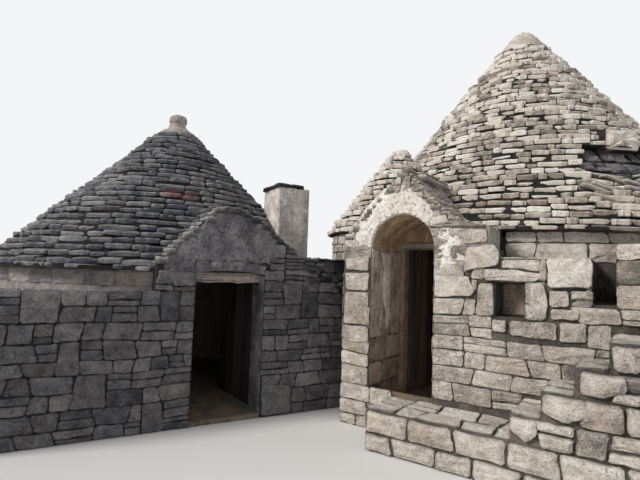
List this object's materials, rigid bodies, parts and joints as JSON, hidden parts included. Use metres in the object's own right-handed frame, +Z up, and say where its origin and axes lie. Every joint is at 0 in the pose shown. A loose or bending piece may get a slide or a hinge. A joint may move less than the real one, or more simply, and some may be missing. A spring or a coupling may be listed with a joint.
{
  "type": "trullo house",
  "caption": "Dry-stone house of two domed round rooms under stepped slab cones, with a gabled porch, an arched porch, a chimney, a niche, a landing and an outside stair; both doors swing.",
  "frame": {"origin": "on the ground under the wall between the two rooms, close to the middle of the plan", "axes": "+Z up, the two fronts face -Y, +X to the right seen from the front"},
  "size_m": [12.7795, 8.6248, 6.86],
  "materials": {
    "left_wall": "matte",
    "left_front": "matte",
    "left_slabs": "matte",
    "right_wall": "matte",
    "right_plaster": "matte",
    "right_slabs": "matte",
    "chimney_plaster": "matte",
    "dark_slab": "matte",
    "inner_stone": "matte",
    "floor_stone": "matte",
    "left_planks": "matte",
    "right_planks": "matte",
    "iron": "matte"
  },
  "bodies": {
    "house": {"left_wall_east": "left_wall", "left_wall_north": "left_wall", "left_wall_west": "left_wall", "left_wall_south": "left_wall", "left_front_wall": "left_front", "left_pier_left": "left_front", "left_pier_right": "left_front", "left_lintel": "left_front", "left_gable": "left_front", "hearth_wall": "left_front", "hearth_roof": "left_slabs", "chimney": "chimney_plaster", "chimney_cap": "dark_slab", "left_eaves": "left_slabs", "left_dome": "inner_stone", "left_roof": "left_slabs", "left_finial": "left_slabs", "left_floor": "floor_stone", "left_pintles": "iron", "middle_wall": "left_front", "small_roof": "right_slabs", "right_wall_east": "right_wall", "right_wall_north": "right_wall", "right_wall_west": "right_wall", "right_wall_south": "right_wall", "right_pier_left": "right_plaster", "right_pier_right": "right_wall", "right_door_head": "inner_stone", "right_door_frame": "right_plaster", "arch_vault": "right_plaster", "right_gable": "right_plaster", "right_porch_roof": "right_slabs", "right_front_wall": "right_wall", "niche_lintel": "right_wall", "stair_wall": "right_wall", "right_eaves": "right_slabs", "right_dome": "inner_stone", "right_roof": "right_slabs", "right_floor": "floor_stone", "right_pintles": "iron", "landing": "right_wall", "stair": "right_wall"},
    "left_leaf": {"left_door": "left_planks"},
    "right_leaf": {"right_door": "right_planks"}
  },
  "joints": [
    {"name": "left_door_hinge", "type": "hinge", "parent": "house", "child": "left_leaf", "pos_m": [-1.73937, -1.06063, 1], "axis": [0, 0, 1], "range_deg": [-5, 85]},
    {"name": "right_door_hinge", "type": "hinge", "parent": "house", "child": "right_leaf", "pos_m": [0.55655, -0.84738, 1.4], "axis": [0, 0, 1], "range_deg": [-87, 3]}
  ]
}
